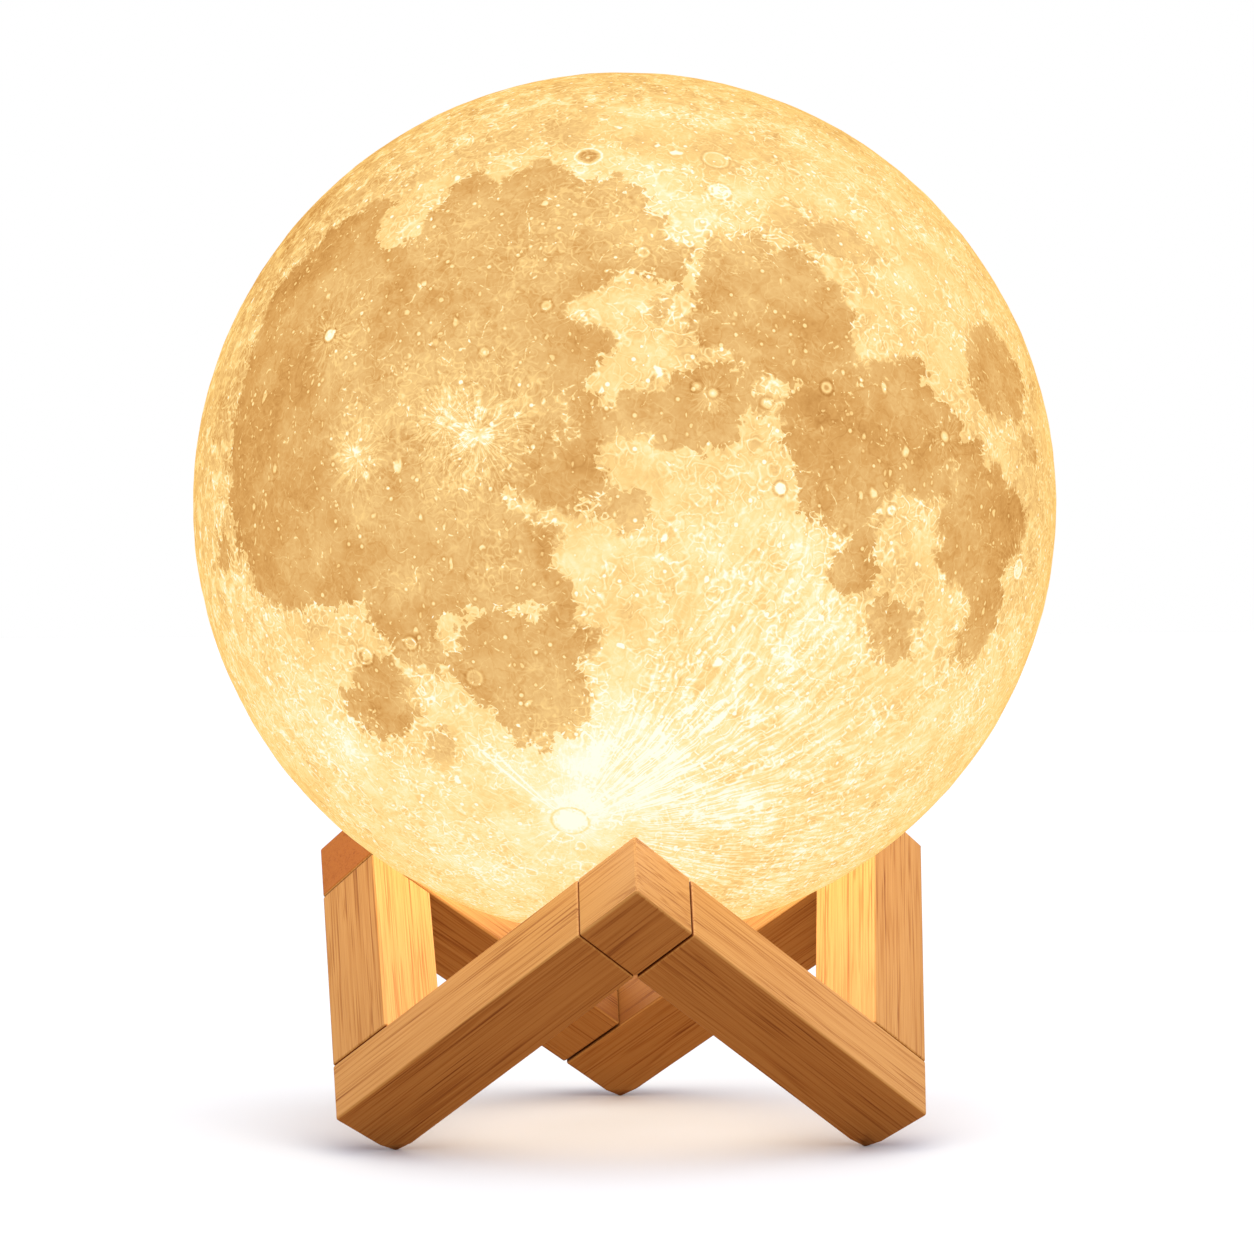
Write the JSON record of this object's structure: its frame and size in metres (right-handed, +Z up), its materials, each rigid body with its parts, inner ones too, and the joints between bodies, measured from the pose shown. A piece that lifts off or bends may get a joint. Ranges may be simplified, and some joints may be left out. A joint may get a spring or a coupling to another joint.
{
  "type": "moon lamp",
  "caption": "Lit printed moon globe with a battery lamp module in its base, resting on a six-bar wooden stand with three feet and three peaks.",
  "frame": {"origin": "on the table, under the middle of the globe", "axes": "+Z up, -Y towards the viewer in front of the front peak, +X to that viewer's right"},
  "size_m": [0.15, 0.15, 0.1842],
  "materials": {
    "bamboo": "fine straight grain, oiled, satin",
    "elastic": "braided sleeve, matt",
    "nickel_steel": "nickel plated",
    "moon_print": "printed relief, lit from inside, warm",
    "white_abs": "moulded, fine texture",
    "polished_steel": "satin polished",
    "grey_silicone": "matt",
    "black_plastic": "moulded",
    "clear_plastic": "clear light pipe",
    "circuit_board": "solder mask",
    "battery_foil": "foil pouch",
    "grey_foam": "closed-cell foam",
    "led_substrate": "white solder mask",
    "led_phosphor": "lit warm",
    "opal_plastic": "opal, lit warm",
    "lead_insulation": "PVC insulation, one lead red, one black",
    "button_plastic": "moulded, satin"
  },
  "bodies": {
    "stand": {"front_left_bar": "bamboo", "front_right_bar": "bamboo", "left_side_bar": "bamboo", "right_side_bar": "bamboo", "back_left_bar": "bamboo", "back_right_bar": "bamboo", "front_peak_block": "bamboo", "elastic_cord": "elastic", "cord_ferrule": "nickel_steel"},
    "globe": {"moon_shell": "moon_print", "shell_collar": "white_abs"},
    "lamp_module": {"base_cap": "white_abs", "trim_ring": "polished_steel", "seal_ring": "grey_silicone", "charge_socket": "nickel_steel", "socket_tongue": "black_plastic", "charge_light": "clear_plastic", "control_board": "circuit_board", "board_screws": "nickel_steel", "tact_switch": "black_plastic", "battery_cell": "battery_foil", "battery_pads": "grey_foam", "cup_lid": "white_abs", "lid_screws": "nickel_steel", "led_board": "led_substrate", "led_chips": "led_phosphor", "led_diffuser": "opal_plastic", "battery_leads": "lead_insulation", "led_leads": "lead_insulation"},
    "button": {"power_button": "button_plastic", "switch_plunger": "black_plastic"}
  },
  "joints": [
    {"name": "globe_lift", "type": "slide", "parent": "stand", "child": "globe", "axis": [0, 0, 1], "range_m": [0, 0.1]},
    {"name": "module_twist", "type": "hinge", "parent": "globe", "child": "lamp_module", "pos_m": [0, 0, 0.04217], "axis": [0, 0, -1], "range_deg": [0, 40]},
    {"name": "button_press", "type": "slide", "parent": "lamp_module", "child": "button", "axis": [0, 0, 1], "range_m": [0, 0.0006], "stiffness_N_per_m": 1500}
  ]
}
